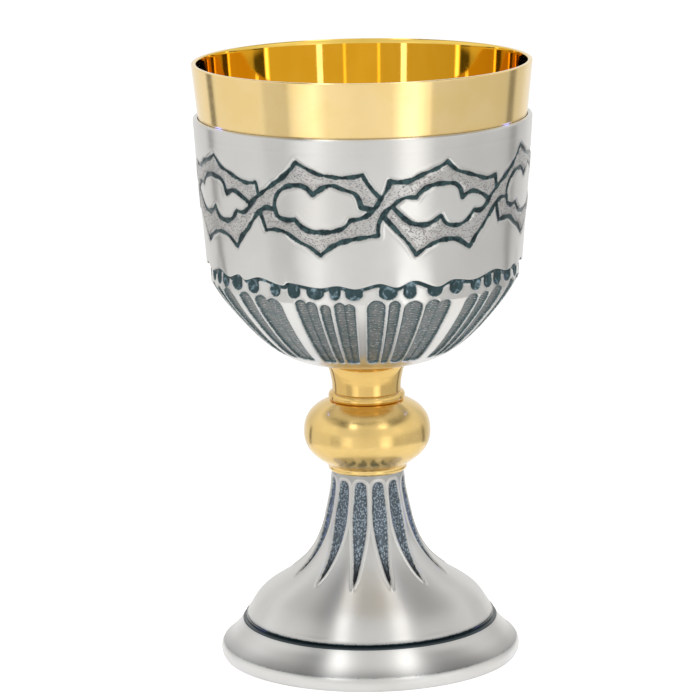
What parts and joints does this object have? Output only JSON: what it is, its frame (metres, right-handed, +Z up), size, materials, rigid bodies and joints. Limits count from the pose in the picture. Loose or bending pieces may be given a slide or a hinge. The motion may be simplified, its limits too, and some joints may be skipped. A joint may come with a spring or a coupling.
{
  "type": "communion chalice",
  "caption": "Gold-lined spun cup in a chased silver shell on a gilt knob and a bell-shaped silver foot, held together by a threaded rod.",
  "frame": {"origin": "centre of the foot's underside, on the plane that the chalice stands on", "axes": "+Z up the chalice's axis, from the foot to the mouth of the cup; X and Y are any two directions across it"},
  "size_m": [0.1048, 0.1048, 0.188],
  "materials": {
    "polished_gold": "mirror-polished gold plate on brass",
    "chased_silver": "satin silver plate on brass, chased, with a dark blue-grey patina in the recesses",
    "polished_silver": "polished silver plate on brass",
    "turned_brass": "plain turned brass",
    "steel": "bright zinc-plated steel"
  },
  "bodies": {
    "root": {"inner_cup": "polished_gold", "cup_boss": "turned_brass", "shell_wall": "chased_silver", "fluted_bowl": "chased_silver", "neck_collar": "polished_gold", "neck_ring": "polished_gold", "knob_upper_half": "polished_gold", "knob_lower_half": "polished_gold", "knob_spacer_tube": "turned_brass", "lower_collar": "polished_gold", "stem_top_plate": "turned_brass", "foot_bell": "chased_silver", "base_ring": "polished_silver", "tie_rod": "steel", "clamp_washer": "steel", "lock_washer": "steel", "hex_nut": "steel"}
  },
  "joints": []
}
